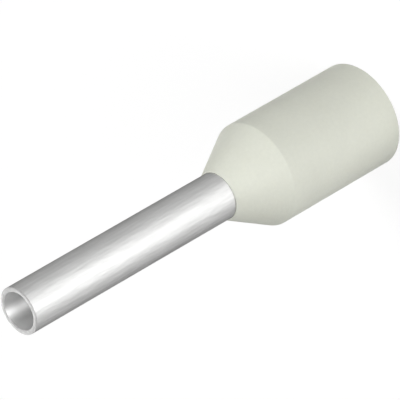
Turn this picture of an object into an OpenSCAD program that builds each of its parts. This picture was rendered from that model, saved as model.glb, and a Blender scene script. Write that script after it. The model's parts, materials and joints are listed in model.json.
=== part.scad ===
// Insulated wire ferrule for a 0.75 mm2 stranded wire, 14 mm long with an 8 mm pin.
// The plastic collar stands on its wire-entry face at z = 0, and the pin points along +Z.
// Both pieces are turned profiles, drawn as [radius, height] and revolved round Z.

/* [Sleeve] */
// Length of the bare metal pin in front of the collar
pin_len = 8; // [6:0.5:18]
// Inside diameter of the metal sleeve, for the stripped strands
sleeve_bore_d = 1.2; // [1:0.05:1.4]
// Thickness of the sleeve's metal
sleeve_wall = 0.15; // [0.1:0.01:0.2]
// Radius of the bend where the sleeve opens into its flare, measured on its outside
flare_bend_r = 0.4; // [0.2:0.05:0.8]
// Width of the broken edges at the pin's tip and at the flare's rim
metal_edge = 0.02; // [0.01:0.005:0.04]

/* [Collar] */
// Length of the collar, from the wire-entry face to the nose
collar_len = 6; // [5:0.25:10]
// Inside diameter of the collar, for the wire's insulation
wire_bore_d = 2.8; // [2.5:0.1:3.4]
// Thickness of the collar's wall, on the cylinder and on the cone
collar_wall = 0.25; // [0.2:0.01:0.35]
// Length of the cone between the cylinder and the nose
cone_len = 1.56; // [1.2:0.02:2.4]
// Width of the flat ring where the nose ends round the pin
nose_land = 0.02; // [0.01:0.005:0.05]
// Radius of the rounded shoulder between the cylinder and the cone
shoulder_r = 0.1; // [0.05:0.05:0.4]
// Radius of the rounded mouth inside the wire-entry face
mouth_r = 0.08; // [0.03:0.01:0.12]
// Radius of the outer edge of the wire-entry face
rear_edge_r = 0.05; // [0.02:0.01:0.08]

/* [Fit] */
// Clearance between the pin and the collar's throat, on the radius
throat_gap = 0.01; // [0.005:0.005:0.03]
// Gap between the flare's rim and the collar's bore, on the radius
rim_gap = 0.1; // [0.05:0.01:0.2]

/* [Hidden] */
$fn = 96;
arc_steps = 6;

sleeve_bore_r = sleeve_bore_d / 2;
pin_r = sleeve_bore_r + sleeve_wall;
tip_z = collar_len + pin_len;

wire_bore_r = wire_bore_d / 2;
collar_r = wire_bore_r + collar_wall;
throat_r = pin_r + throat_gap;
nose_r = throat_r + nose_land;
shoulder_z = collar_len - cone_len;

// How far the cone leans from the axis, and how far a 1 mm rounding reaches along either side of
// the corner between the two
lean = atan((collar_r - nose_r) / cone_len);
reach = tan(lean / 2);

// The seat is the cone inside the collar, one wall in from the outer cone. The flare rests on it.
seat_z = shoulder_z - collar_wall * reach;
rim_r = wire_bore_r - rim_gap;

// Height of the seat at a radius
function seat_height(r) = seat_z + (wire_bore_r - r) / tan(lean);

// Points of an arc round [r, z], from one angle to another, both ends included
function arc(r, z, radius, from, to) = [
    for (i = [0:arc_steps])
        let (a = from + (to - from) * i / arc_steps)
            [r + radius * cos(a), z + radius * sin(a)]
];

// The bend from the seat's line up to a straight wall at radius r, or the same bend seen depth
// deeper in the sleeve's metal
function bend(r, depth = 0) =
    arc(
        r + flare_bend_r, seat_height(r) + flare_bend_r * reach,
        flare_bend_r + depth, 180 + lean, 180
    );

// The same points from last to first
function backwards(points) = [for (i = [len(points) - 1:-1:0]) points[i]];

// A point at the flare's rim: depth inside the metal's outside, and back from the cut edge
function rim_point(depth, back) = [
    rim_r - depth * cos(lean) - back * sin(lean),
    seat_height(rim_r) - depth * sin(lean) + back * cos(lean)
];

// Tin-plated copper tube: a straight pin, a bend, and a flare that guides the strands in
module sleeve() {
    inside = concat(
        [rim_point(sleeve_wall, metal_edge)],
        bend(pin_r, sleeve_wall),
        [[sleeve_bore_r, tip_z - metal_edge], [sleeve_bore_r + metal_edge, tip_z]]
    );
    outside = concat(
        [[pin_r - metal_edge, tip_z], [pin_r, tip_z - metal_edge]],
        backwards(bend(pin_r)),
        [rim_point(0, metal_edge), rim_point(metal_edge, 0)]
    );
    color([0.80, 0.80, 0.79])
        rotate_extrude()
            polygon(concat(inside, outside, [rim_point(sleeve_wall - metal_edge, 0)]));
}

// Moulded plastic collar: a thin cup that narrows to the pin, with the seat for the flare inside
module collar() {
    outside = concat(
        arc(collar_r - rear_edge_r, rear_edge_r, rear_edge_r, -90, 0),
        arc(collar_r - shoulder_r, shoulder_z - shoulder_r * reach, shoulder_r, 0, lean),
        [[nose_r, collar_len]]
    );
    inside = concat(
        [[throat_r, collar_len]],
        backwards(bend(throat_r)),
        [[wire_bore_r, seat_z]],
        arc(wire_bore_r + mouth_r, mouth_r, mouth_r, 180, 270)
    );
    color([0.93, 0.93, 0.89])
        rotate_extrude()
            polygon(concat(outside, inside));
}

sleeve();
collar();
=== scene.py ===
"""Insulated wire ferrule: a tinned sleeve held in an off-white collar, standing on its wire entry."""

import json
import math

import bmesh
import bpy
from mathutils import Matrix, Vector


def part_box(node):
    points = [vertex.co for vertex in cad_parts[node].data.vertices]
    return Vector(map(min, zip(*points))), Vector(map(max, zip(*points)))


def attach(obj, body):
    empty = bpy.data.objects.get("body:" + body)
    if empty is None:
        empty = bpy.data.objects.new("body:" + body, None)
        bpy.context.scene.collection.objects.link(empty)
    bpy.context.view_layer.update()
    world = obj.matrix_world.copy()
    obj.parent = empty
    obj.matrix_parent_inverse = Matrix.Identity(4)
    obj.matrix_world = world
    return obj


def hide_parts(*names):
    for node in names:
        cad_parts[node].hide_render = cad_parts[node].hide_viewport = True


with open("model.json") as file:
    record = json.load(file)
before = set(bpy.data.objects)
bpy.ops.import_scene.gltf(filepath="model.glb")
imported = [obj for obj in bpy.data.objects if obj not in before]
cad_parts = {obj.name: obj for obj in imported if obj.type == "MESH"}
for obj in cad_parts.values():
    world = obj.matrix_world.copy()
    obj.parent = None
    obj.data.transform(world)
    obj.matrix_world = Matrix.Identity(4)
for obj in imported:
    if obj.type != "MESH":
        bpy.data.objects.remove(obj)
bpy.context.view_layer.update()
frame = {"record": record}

# ---------------------------------------------------------------- sizes, in metres

MM = 0.001
MOUNTS = {mount["name"]: mount for mount in frame["record"]["mounts"]}
COLLAR_LOW, COLLAR_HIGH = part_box("collar")
SLEEVE_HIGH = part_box("sleeve")[1]


def mount_radius(name):
    """Radius of a round mount."""
    return MOUNTS[name]["dims"]["r_mm"] * MM


STRAND_BORE_R = mount_radius("conductor_bore")
PIN_R = mount_radius("contact_pin")
WIRE_BORE_R = mount_radius("wire_entry")
COLLAR_R = COLLAR_HIGH.x
BASE_Z = COLLAR_LOW.z
NOSE_Z = COLLAR_HIGH.z
TIP_Z = SLEEVE_HIGH.z

SLEEVE_WALL = PIN_R - STRAND_BORE_R
COLLAR_WALL = COLLAR_R - WIRE_BORE_R
CONE_LEN = 1.56 * MM
SHOULDER_Z = NOSE_Z - CONE_LEN

# Clearance in the throat, how far the nose stands out from the pin, and the gap round the flare
THROAT_GAP = 0.001 * MM
NOSE_STEP = 0.03 * MM
RIM_GAP = 0.1 * MM
THROAT_R = PIN_R + THROAT_GAP
NOSE_R = PIN_R + NOSE_STEP
RIM_R = WIRE_BORE_R - RIM_GAP

# Radii of the rounded edges
BEND_R = 0.4 * MM
SHOULDER_R = 0.1 * MM
MOUTH_R = 0.08 * MM
REAR_EDGE_R = 0.05 * MM
SEAT_CORNER_R = 0.02 * MM
RIM_EDGE_R = 0.02 * MM
TIP_EDGE_R = 0.01 * MM
NOSE_EDGE_R = 0.004 * MM

# Faces across a rounded edge
BEND_STEPS = 12
MOUTH_STEPS = 6
OUTER_STEPS = 5
METAL_STEPS = 4
FINE_STEPS = 3

# The cone's lean from the axis, and the flare's seat one wall inside it
LEAN = math.atan((COLLAR_R - NOSE_R) / CONE_LEN)
REACH = math.tan(LEAN / 2)
SEAT_Z = SHOULDER_Z - COLLAR_WALL * REACH


def seat_height(radius):
    """Height of the flare's seat at a radius."""
    return SEAT_Z + (WIRE_BORE_R - radius) / math.tan(LEAN)


# ---------------------------------------------------------------- shaping

TURNS = 256
WELD_DISTANCE = 1e-7
FLATNESS_WEIGHT = 100


def rounded_profile(corners):
    """A closed outline of (radius, height, rounding radius, segments) corners, each one rounded."""
    shape = bmesh.new()
    ring = [shape.verts.new((radius, 0, height)) for radius, height, *_ in corners]
    for vert, following in zip(ring, ring[1:] + ring[:1]):
        shape.edges.new((vert, following))
    roundings = []
    for i, (vert, (*_, rounding, segments)) in enumerate(zip(ring, corners)):
        before = (ring[i - 1].co - vert.co).normalized()
        after = (ring[(i + 1) % len(ring)].co - vert.co).normalized()
        turn = math.pi - before.angle(after)
        roundings.append((vert, rounding * math.tan(turn / 2), segments))
    for vert, offset, segments in roundings:
        bmesh.ops.bevel(
            shape, geom=[vert], offset=offset, offset_type="OFFSET", affect="VERTICES",
            segments=segments, profile=0.5, material=-1, clamp_overlap=True,
        )
    return shape


def turned(name, corners):
    """The rounded outline of the corners, spun round Z into a closed piece."""
    shape = rounded_profile(corners)
    bmesh.ops.spin(
        shape, geom=shape.verts[:] + shape.edges[:], cent=(0, 0, 0), axis=(0, 0, 1),
        angle=math.tau, steps=TURNS, use_merge=True,
    )
    bmesh.ops.remove_doubles(shape, verts=shape.verts[:], dist=WELD_DISTANCE)
    bmesh.ops.recalc_face_normals(shape, faces=shape.faces[:])
    for face in shape.faces:
        face.smooth = True
    mesh = bpy.data.meshes.new(name)
    shape.to_mesh(mesh)
    shape.free()
    piece = bpy.data.objects.new(name, mesh)
    bpy.context.scene.collection.objects.link(piece)
    level = piece.modifiers.new("flat_faces_stay_flat", "WEIGHTED_NORMAL")
    level.mode = "FACE_AREA"
    level.weight = FLATNESS_WEIGHT
    return piece


def make_sleeve():
    """Straight pin, bend and flare, with softly broken edges at both ends."""
    rim_z = seat_height(RIM_R)
    rim_in = (RIM_R - SLEEVE_WALL * math.cos(LEAN), rim_z - SLEEVE_WALL * math.sin(LEAN))
    bend_z = seat_height(PIN_R)
    return turned("tinned_sleeve", [
        (*rim_in, RIM_EDGE_R, METAL_STEPS),
        (STRAND_BORE_R, bend_z - SLEEVE_WALL * REACH, BEND_R + SLEEVE_WALL, BEND_STEPS),
        (STRAND_BORE_R, TIP_Z, TIP_EDGE_R, METAL_STEPS),
        (PIN_R, TIP_Z, TIP_EDGE_R, METAL_STEPS),
        (PIN_R, bend_z, BEND_R, BEND_STEPS),
        (RIM_R, rim_z, RIM_EDGE_R, METAL_STEPS),
    ])


def make_collar():
    """Thin cup with a rounded mouth, a cone outside and the flare's seat inside."""
    return turned("moulded_collar", [
        (COLLAR_R, BASE_Z, REAR_EDGE_R, OUTER_STEPS),
        (COLLAR_R, SHOULDER_Z, SHOULDER_R, OUTER_STEPS),
        (NOSE_R, NOSE_Z, NOSE_EDGE_R, FINE_STEPS),
        (THROAT_R, NOSE_Z, NOSE_EDGE_R, FINE_STEPS),
        (THROAT_R, seat_height(THROAT_R), BEND_R, BEND_STEPS),
        (WIRE_BORE_R, SEAT_Z, SEAT_CORNER_R, FINE_STEPS),
        (WIRE_BORE_R, BASE_Z, MOUTH_R, MOUTH_STEPS),
    ])


# ---------------------------------------------------------------- shared parts of the materials


def nodes_of(material):
    """The material's tree with only its output left, and that output."""
    material.use_nodes = True
    tree = material.node_tree
    tree.nodes.clear()
    return tree, tree.nodes.new("ShaderNodeOutputMaterial")


def principled_material(name):
    """A new material, its tree, its shader, and the Object coordinates that its patterns read."""
    material = bpy.data.materials.new(name)
    tree, output = nodes_of(material)
    shader = tree.nodes.new("ShaderNodeBsdfPrincipled")
    place = tree.nodes.new("ShaderNodeTexCoord").outputs["Object"]
    tree.links.new(shader.outputs[0], output.inputs["Surface"])
    return material, tree, shader, place


def node_group(name, inputs, outputs):
    """An empty shader group with the given sockets; inputs are (name, kind, value)."""
    group = bpy.data.node_groups.new(name, "ShaderNodeTree")
    for label, kind, value in inputs:
        socket = group.interface.new_socket(label, in_out="INPUT", socket_type=kind)
        if value is not None:
            socket.default_value = value
    for label, kind in outputs:
        group.interface.new_socket(label, in_out="OUTPUT", socket_type=kind)
    return group, group.nodes.new("NodeGroupInput"), group.nodes.new("NodeGroupOutput")


def math_node(tree, operation, first, second=0):
    """A Math node's output, from two values or sockets."""
    node = tree.nodes.new("ShaderNodeMath")
    node.operation = operation
    for socket, given in zip(node.inputs, (first, second)):
        if isinstance(given, bpy.types.NodeSocket):
            tree.links.new(given, socket)
        else:
            socket.default_value = given
    return node.outputs[0]


def marks(tree, vector, size, stretch, detail):
    """Noise with marks of one size, drawn out along Z; all its settings are sockets."""
    draw_out = tree.nodes.new("ShaderNodeCombineXYZ")
    draw_out.inputs["X"].default_value = 1
    draw_out.inputs["Y"].default_value = 1
    tree.links.new(math_node(tree, "DIVIDE", 1, stretch), draw_out.inputs["Z"])
    stretched = tree.nodes.new("ShaderNodeVectorMath")
    stretched.operation = "MULTIPLY"
    tree.links.new(vector, stretched.inputs[0])
    tree.links.new(draw_out.outputs[0], stretched.inputs[1])
    noise = tree.nodes.new("ShaderNodeTexNoise")
    noise.inputs["Detail"].default_value = detail
    tree.links.new(stretched.outputs[0], noise.inputs["Vector"])
    tree.links.new(math_node(tree, "DIVIDE", 1, size), noise.inputs["Scale"])
    return noise.outputs["Fac"]


def swing_of(tree, noise, amount):
    """The noise's swing either side of zero, times an amount."""
    around_zero = math_node(tree, "SUBTRACT", noise, 0.5)
    return math_node(tree, "MULTIPLY", around_zero, amount)


def mottling():
    """Uneven shade: a colour made lighter and darker by marks of one size, and the marks."""
    group, given, result = node_group(
        "mottling",
        (
            ("Vector", "NodeSocketVector", None),
            ("Color", "NodeSocketColor", (1, 1, 1, 1)),
            ("Mark Size", "NodeSocketFloat", 0.001),
            ("Stretch", "NodeSocketFloat", 1),
            ("Contrast", "NodeSocketFloat", 0.05),
        ),
        (("Color", "NodeSocketColor"), ("Marks", "NodeSocketFloat")),
    )
    noise = marks(
        group, given.outputs["Vector"], given.outputs["Mark Size"], given.outputs["Stretch"], 3
    )
    swing = swing_of(group, noise, given.outputs["Contrast"])
    scale = group.nodes.new("ShaderNodeVectorMath")
    scale.operation = "SCALE"
    group.links.new(given.outputs["Color"], scale.inputs[0])
    group.links.new(math_node(group, "ADD", swing, 1), scale.inputs["Scale"])
    group.links.new(scale.outputs[0], result.inputs["Color"])
    group.links.new(noise, result.inputs["Marks"])
    return group


def fine_grain():
    """Small marks of one size, drawn out along Z: their height, and a roughness that follows."""
    group, given, result = node_group(
        "fine_grain",
        (
            ("Vector", "NodeSocketVector", None),
            ("Mark Size", "NodeSocketFloat", 0.00005),
            ("Stretch", "NodeSocketFloat", 1),
            ("Roughness", "NodeSocketFloat", 0.5),
            ("Variation", "NodeSocketFloat", 0.05),
        ),
        (("Height", "NodeSocketFloat"), ("Roughness", "NodeSocketFloat")),
    )
    noise = marks(
        group, given.outputs["Vector"], given.outputs["Mark Size"], given.outputs["Stretch"], 2
    )
    swing = swing_of(group, noise, given.outputs["Variation"])
    roughness = math_node(group, "ADD", swing, given.outputs["Roughness"])
    group.links.new(roughness, result.inputs["Roughness"])
    group.links.new(noise, result.inputs["Height"])
    return group


def placed(tree, group, vector, **settings):
    """The group in a material, reading the given coordinates, with its own values."""
    node = tree.nodes.new("ShaderNodeGroup")
    node.node_tree = group
    tree.links.new(vector, node.inputs["Vector"])
    for label, value in settings.items():
        node.inputs[label.replace("_", " ").title()].default_value = value
    return node


def between(tree, factor, low, high):
    """A value that goes from low to high with the factor."""
    mix = tree.nodes.new("ShaderNodeMix")
    mix.data_type = "FLOAT"
    tree.links.new(factor, mix.inputs[0])
    mix.inputs[2].default_value = low
    mix.inputs[3].default_value = high
    return mix.outputs[0]


def ramp_over(tree, value, start, end):
    """0 before start, 1 after end, and smooth between them."""
    ramp = tree.nodes.new("ShaderNodeMapRange")
    ramp.interpolation_type = "SMOOTHSTEP"
    tree.links.new(value, ramp.inputs["Value"])
    ramp.inputs["From Min"].default_value = start
    ramp.inputs["From Max"].default_value = end
    return ramp.outputs["Result"]


def raised(tree, height, depth, normal_socket):
    """Bump of a real depth in metres, into the shader's normal."""
    bump = tree.nodes.new("ShaderNodeBump")
    bump.inputs["Distance"].default_value = depth
    tree.links.new(height, bump.inputs["Height"])
    tree.links.new(bump.outputs["Normal"], normal_socket)


def around_axis(tree, place):
    """The direction round Z at a position."""
    around = tree.nodes.new("ShaderNodeVectorMath")
    around.operation = "CROSS_PRODUCT"
    around.inputs[0].default_value = (0, 0, 1)
    tree.links.new(place, around.inputs[1])
    return around.outputs[0]


# ---------------------------------------------------------------- materials

OFF_WHITE = (0.755, 0.77, 0.68, 1)
BRIGHT_TIN = (0.57, 0.57, 0.565, 1)
# The bore's tin, painted much lighter than the outer tin: painted light in the hollow
LIGHTENED_BORE_TIN = (0.95, 0.95, 0.945, 1)

# Roughness where a surface is rubbed smooth and where it isn't, and the depth of its fine marks
TIN_ROUGHNESS = (0.38, 0.46)
TIN_LINE_DEPTH = 0.012 * MM
PLASTIC_ROUGHNESS = (0.50, 0.60)
PLASTIC_GRAIN_DEPTH = 0.004 * MM
BORE_ROUGHNESS = 0.74


def tinned_metal(groups):
    """Satin tin plating on drawn tube, with lengthwise drawing lines."""
    material, tree, shader, place = principled_material("tin_plating")
    clouds = placed(
        tree, groups["mottling"], place,
        color=BRIGHT_TIN, mark_size=0.7 * MM, contrast=0.12,
    )
    streaks = placed(
        tree, groups["mottling"], place,
        mark_size=0.09 * MM, stretch=20, contrast=0.3,
    )
    tree.links.new(clouds.outputs["Color"], streaks.inputs["Color"])
    tree.links.new(streaks.outputs["Color"], shader.inputs["Base Color"])

    lines = placed(
        tree, groups["fine_grain"], place,
        mark_size=0.09 * MM, stretch=5, variation=0.12,
    )
    rubbed = between(tree, clouds.outputs["Marks"], *TIN_ROUGHNESS)
    tree.links.new(rubbed, lines.inputs["Roughness"])
    tree.links.new(lines.outputs["Roughness"], shader.inputs["Roughness"])
    raised(tree, lines.outputs["Height"], TIN_LINE_DEPTH, shader.inputs["Normal"])

    shader.inputs["Metallic"].default_value = 1
    # A dark edge tint: painted shade on the tube's sides where they are seen at a slant
    shader.inputs["Specular Tint"].default_value = (0.25, 0.25, 0.25, 1)
    return material


def bore_metal(groups):
    """The bore's duller tin, painted much lighter than the outer tin as painted light in the hollow.
    It has a black edge tint as painted shade on its slanting walls, and fine rings that draw a
    highlight out along the axis.
    """
    material, tree, shader, place = principled_material("matte_lightened_tin_bore")
    clouds = placed(
        tree, groups["mottling"], place,
        color=LIGHTENED_BORE_TIN, mark_size=0.4 * MM, contrast=0.15,
    )
    tree.links.new(clouds.outputs["Color"], shader.inputs["Base Color"])
    rings = placed(
        tree, groups["fine_grain"], place,
        mark_size=0.2 * MM, stretch=0.15, roughness=BORE_ROUGHNESS, variation=0.10,
    )
    tree.links.new(rings.outputs["Roughness"], shader.inputs["Roughness"])
    tree.links.new(around_axis(tree, place), shader.inputs["Tangent"])
    shader.inputs["Metallic"].default_value = 1
    shader.inputs["Anisotropic"].default_value = 0.95
    shader.inputs["Anisotropic Rotation"].default_value = 0.25
    # A black edge tint: painted shade on the bore's walls where they are seen at a slant
    shader.inputs["Specular Tint"].default_value = (0, 0, 0, 1)
    return material


def moulded_plastic(groups):
    """Off-white polypropylene with faint flow clouds and the fine texture of its mould."""
    material, tree, shader, place = principled_material("off_white_plastic")
    clouds = placed(
        tree, groups["mottling"], place,
        color=OFF_WHITE, mark_size=1.4 * MM, contrast=0.07,
    )
    specks = placed(tree, groups["mottling"], place, mark_size=0.11 * MM, contrast=0.07)
    tree.links.new(clouds.outputs["Color"], specks.inputs["Color"])
    tree.links.new(specks.outputs["Color"], shader.inputs["Base Color"])

    texture = placed(tree, groups["fine_grain"], place, mark_size=0.06 * MM, variation=0.15)
    rubbed = between(tree, clouds.outputs["Marks"], *PLASTIC_ROUGHNESS)
    tree.links.new(rubbed, texture.inputs["Roughness"])
    tree.links.new(texture.outputs["Roughness"], shader.inputs["Roughness"])
    raised(tree, texture.outputs["Height"], PLASTIC_GRAIN_DEPTH, shader.inputs["Normal"])

    shader.inputs["IOR"].default_value = 1.49
    shader.inputs["Specular IOR Level"].default_value = 0.35
    shader.inputs["Subsurface Weight"].default_value = 0.15
    shader.inputs["Subsurface Radius"].default_value = (1.0, 0.95, 0.8)
    shader.inputs["Subsurface Scale"].default_value = 0.15 * MM
    return material


# ---------------------------------------------------------------- camera

VIEW_AZIMUTH = math.radians(45)
VIEW_ELEVATION = math.radians(35.264)
VIEW_ROLL = math.radians(-120)
VIEW_DISTANCE = 157.07 * MM
LENS = 485.9
SENSOR_WIDTH = 36
NEAREST_SEEN = 0.01
FARTHEST_SEEN = 10
# Where the middle of the ferrule sits beside and above the middle of the view
FRAMED_AT = (-0.187 * MM, -0.2925 * MM)
MIDDLE = Vector((0, 0, (BASE_Z + TIP_Z) / 2))


def outward(azimuth, elevation):
    """Direction from the object, at an azimuth in radians from -Y towards +X."""
    level = math.cos(elevation)
    return Vector((math.sin(azimuth) * level, -math.cos(azimuth) * level, math.sin(elevation)))


def make_camera():
    """A long lens that looks down on the pin's side, rolled so that the ferrule slants."""
    back = outward(VIEW_AZIMUTH, VIEW_ELEVATION)
    level_right = Vector((0, 0, 1)).cross(back).normalized()
    level_up = back.cross(level_right)
    right = level_right * math.cos(VIEW_ROLL) + level_up * math.sin(VIEW_ROLL)
    up = back.cross(right)
    place = MIDDLE - right * FRAMED_AT[0] - up * FRAMED_AT[1] + back * VIEW_DISTANCE
    data = bpy.data.cameras.new("camera")
    data.lens = LENS
    data.sensor_width = SENSOR_WIDTH
    data.clip_start = NEAREST_SEEN
    data.clip_end = FARTHEST_SEEN
    camera = bpy.data.objects.new("camera", data)
    turn = Matrix((right, up, back)).transposed().to_4x4()
    camera.matrix_world = Matrix.Translation(place) @ turn
    bpy.context.scene.collection.objects.link(camera)
    bpy.context.scene.camera = camera


# ---------------------------------------------------------------- stage

# How bright the surround is for spread light, and surround and floor in the metal's reflections
AMBIENT = 0.05
SURROUND_IN_METAL = 0.62
FLOOR_IN_METAL = 0.12

# The floor's own grey takes the shadow, and its glow makes it white: a share of it near the
# ferrule, and all of it far away
FLOOR_RADIUS = 6
FLOOR_DROP = 0.005 * MM
FLOOR_GREY = (0.7, 0.7, 0.7, 1)
FLOOR_GLOW = 1.145
GLOW_SHARE_NEAR = 0.74
GLOW_SHARE_FAR = 1.0
NEAR_ENDS = 20 * MM
FAR_STARTS = 150 * MM

# A glowing sheet that is no lamp and that only the metal mirrors: a painted highlight band along the
# tube
PAINTED_HIGHLIGHT_RADIUS = 1
PAINTED_HIGHLIGHT_DROP = 0.003 * MM
PAINTED_HIGHLIGHT_LEVEL = 1.27
PAINTED_HIGHLIGHT_TURN = math.radians(-15)
PAINTED_HIGHLIGHT_SPREAD = math.radians(35)


def seen_white(tree, reflected):
    """How much white a ray meets: all if seen straight, part in reflections, none as light."""
    path = tree.nodes.new("ShaderNodeLightPath").outputs
    straight = math_node(tree, "MAXIMUM", path["Is Camera Ray"], path["Is Transmission Ray"])
    glossy = math_node(tree, "MULTIPLY", path["Is Glossy Ray"], reflected)
    return math_node(tree, "MAXIMUM", straight, glossy)


def make_world():
    """A white surround, which lights the ferrule only faintly."""
    world = bpy.data.worlds.new("studio")
    bpy.context.scene.world = world
    world.use_nodes = True
    world.cycles.sampling_method = "NONE"
    tree = world.node_tree
    tree.nodes.clear()
    output = tree.nodes.new("ShaderNodeOutputWorld")
    surround = tree.nodes.new("ShaderNodeBackground")
    faint = math_node(tree, "MAXIMUM", seen_white(tree, SURROUND_IN_METAL), AMBIENT)
    tree.links.new(faint, surround.inputs["Strength"])
    surround.inputs["Color"].default_value = (1, 1, 1, 1)
    tree.links.new(surround.outputs[0], output.inputs["Surface"])


def flat_disc(name, radius, height):
    """A horizontal disc round the axis, linked into the scene."""
    shape = bmesh.new()
    bmesh.ops.create_circle(shape, cap_ends=True, segments=64, radius=radius)
    mesh = bpy.data.meshes.new(name)
    shape.to_mesh(mesh)
    shape.free()
    disc = bpy.data.objects.new(name, mesh)
    disc.location.z = height
    bpy.context.scene.collection.objects.link(disc)
    return disc


def distance_from_axis(tree, place):
    """Length of a position's horizontal part."""
    level = tree.nodes.new("ShaderNodeVectorMath")
    level.operation = "MULTIPLY"
    level.inputs[1].default_value = (1, 1, 0)
    tree.links.new(place, level.inputs[0])
    length = tree.nodes.new("ShaderNodeVectorMath")
    length.operation = "LENGTH"
    tree.links.new(level.outputs[0], length.inputs[0])
    return length.outputs["Value"]


def make_floor():
    """White floor that still takes a shadow near the ferrule, and is plain white far from it."""
    floor = flat_disc("floor", FLOOR_RADIUS, BASE_Z - FLOOR_DROP)
    material = bpy.data.materials.new("white_floor")
    material.cycles.emission_sampling = "NONE"
    tree, output = nodes_of(material)
    matt = tree.nodes.new("ShaderNodeBsdfDiffuse")
    matt.inputs["Color"].default_value = FLOOR_GREY
    white = tree.nodes.new("ShaderNodeEmission")
    white.inputs["Strength"].default_value = FLOOR_GLOW
    place = tree.nodes.new("ShaderNodeTexCoord").outputs["Object"]
    far = ramp_over(tree, distance_from_axis(tree, place), NEAR_ENDS, FAR_STARTS)
    glowing = between(tree, far, GLOW_SHARE_NEAR, GLOW_SHARE_FAR)
    share = math_node(tree, "MULTIPLY", seen_white(tree, FLOOR_IN_METAL), glowing)
    mix = tree.nodes.new("ShaderNodeMixShader")
    tree.links.new(share, mix.inputs[0])
    tree.links.new(matt.outputs[0], mix.inputs[1])
    tree.links.new(white.outputs[0], mix.inputs[2])
    tree.links.new(mix.outputs[0], output.inputs["Surface"])
    floor.data.materials.append(material)


def ahead_glow(tree, place):
    """A level that is strongest straight ahead, along -Y, and fades in a bell to both sides."""
    parts = tree.nodes.new("ShaderNodeSeparateXYZ")
    tree.links.new(place, parts.inputs[0])
    ahead = math_node(tree, "MULTIPLY", parts.outputs["Y"], -1)
    aside = math_node(tree, "ARCTAN2", parts.outputs["X"], ahead)
    spread = math_node(tree, "DIVIDE", aside, PAINTED_HIGHLIGHT_SPREAD)
    squared = math_node(tree, "POWER", math_node(tree, "ABSOLUTE", spread), 2)
    falling = math_node(tree, "MULTIPLY", squared, -0.5)
    return math_node(tree, "MULTIPLY", math_node(tree, "EXPONENT", falling), PAINTED_HIGHLIGHT_LEVEL)


def make_painted_highlight():
    """A glowing sheet on the floor in front. No lamp lights it, it is strongest along its middle, and
    only the metal mirrors it: it paints the highlight band along the tube.
    """
    sheet = flat_disc("front_painted_highlight", PAINTED_HIGHLIGHT_RADIUS, BASE_Z - PAINTED_HIGHLIGHT_DROP)
    sheet.rotation_euler.z = VIEW_AZIMUTH + PAINTED_HIGHLIGHT_TURN
    material = bpy.data.materials.new("painted_highlight")
    tree, output = nodes_of(material)
    place = tree.nodes.new("ShaderNodeTexCoord").outputs["Object"]
    glow = tree.nodes.new("ShaderNodeEmission")
    tree.links.new(ahead_glow(tree, place), glow.inputs["Strength"])
    clear = tree.nodes.new("ShaderNodeBsdfTransparent")
    both = tree.nodes.new("ShaderNodeAddShader")
    tree.links.new(glow.outputs[0], both.inputs[0])
    tree.links.new(clear.outputs[0], both.inputs[1])
    tree.links.new(both.outputs[0], output.inputs["Surface"])
    sheet.data.materials.append(material)
    sheet.visible_camera = False
    sheet.visible_diffuse = False
    sheet.visible_transmission = False
    sheet.visible_shadow = False


# ---------------------------------------------------------------- light

# Azimuth from the view's, elevation, how bright a white surface that faces the softbox looks, and
# whether the metal mirrors it
SOFTBOXES = {
    "front_softbox": (-20, 8, 0.44, True),
    "top_softbox": (-20, 60, 0.41, True),
    "side_softbox": (100, 56, 0.52, False),
    "back_softbox": (180, 12, 0.28, True),
}
SOFTBOX_DISTANCE = 0.45
SOFTBOX_SIZE = 0.2


def make_softbox(name, azimuth, elevation, level, mirrored):
    """A square lamp that faces the middle of the ferrule."""
    data = bpy.data.lights.new(name, "AREA")
    data.size = SOFTBOX_SIZE
    data.energy = level * math.pi**2 * SOFTBOX_DISTANCE**2
    lamp = bpy.data.objects.new(name, data)
    lamp.visible_glossy = mirrored
    away = outward(VIEW_AZIMUTH + math.radians(azimuth), math.radians(elevation))
    lamp.location = MIDDLE + away * SOFTBOX_DISTANCE
    lamp.rotation_euler = away.to_track_quat("Z", "Y").to_euler()
    bpy.context.scene.collection.objects.link(lamp)


# ---------------------------------------------------------------- putting it together

BORE_SLOT = 1


def paint_bore(sleeve):
    """Give the second material to each face of the sleeve that looks towards the axis."""
    for face in sleeve.data.polygons:
        outwards = face.normal.x * face.center.x + face.normal.y * face.center.y
        if outwards < 0:
            face.material_index = BORE_SLOT


def main():
    """Stage first, then both pieces with their finish, each in the place of its solid."""
    make_camera()
    make_world()
    make_floor()
    # The glowing sheet paints the highlight band along the tube
    make_painted_highlight()
    for name, setting in SOFTBOXES.items():
        make_softbox(name, *setting)
    groups = {"mottling": mottling(), "fine_grain": fine_grain()}
    sleeve = make_sleeve()
    collar = make_collar()
    sleeve.data.materials.append(tinned_metal(groups))
    sleeve.data.materials.append(bore_metal(groups))
    paint_bore(sleeve)
    collar.data.materials.append(moulded_plastic(groups))
    for node, piece in (("sleeve", sleeve), ("collar", collar)):
        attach(piece, "root")
        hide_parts(node)
    bpy.context.scene.view_settings.view_transform = "Standard"


main()
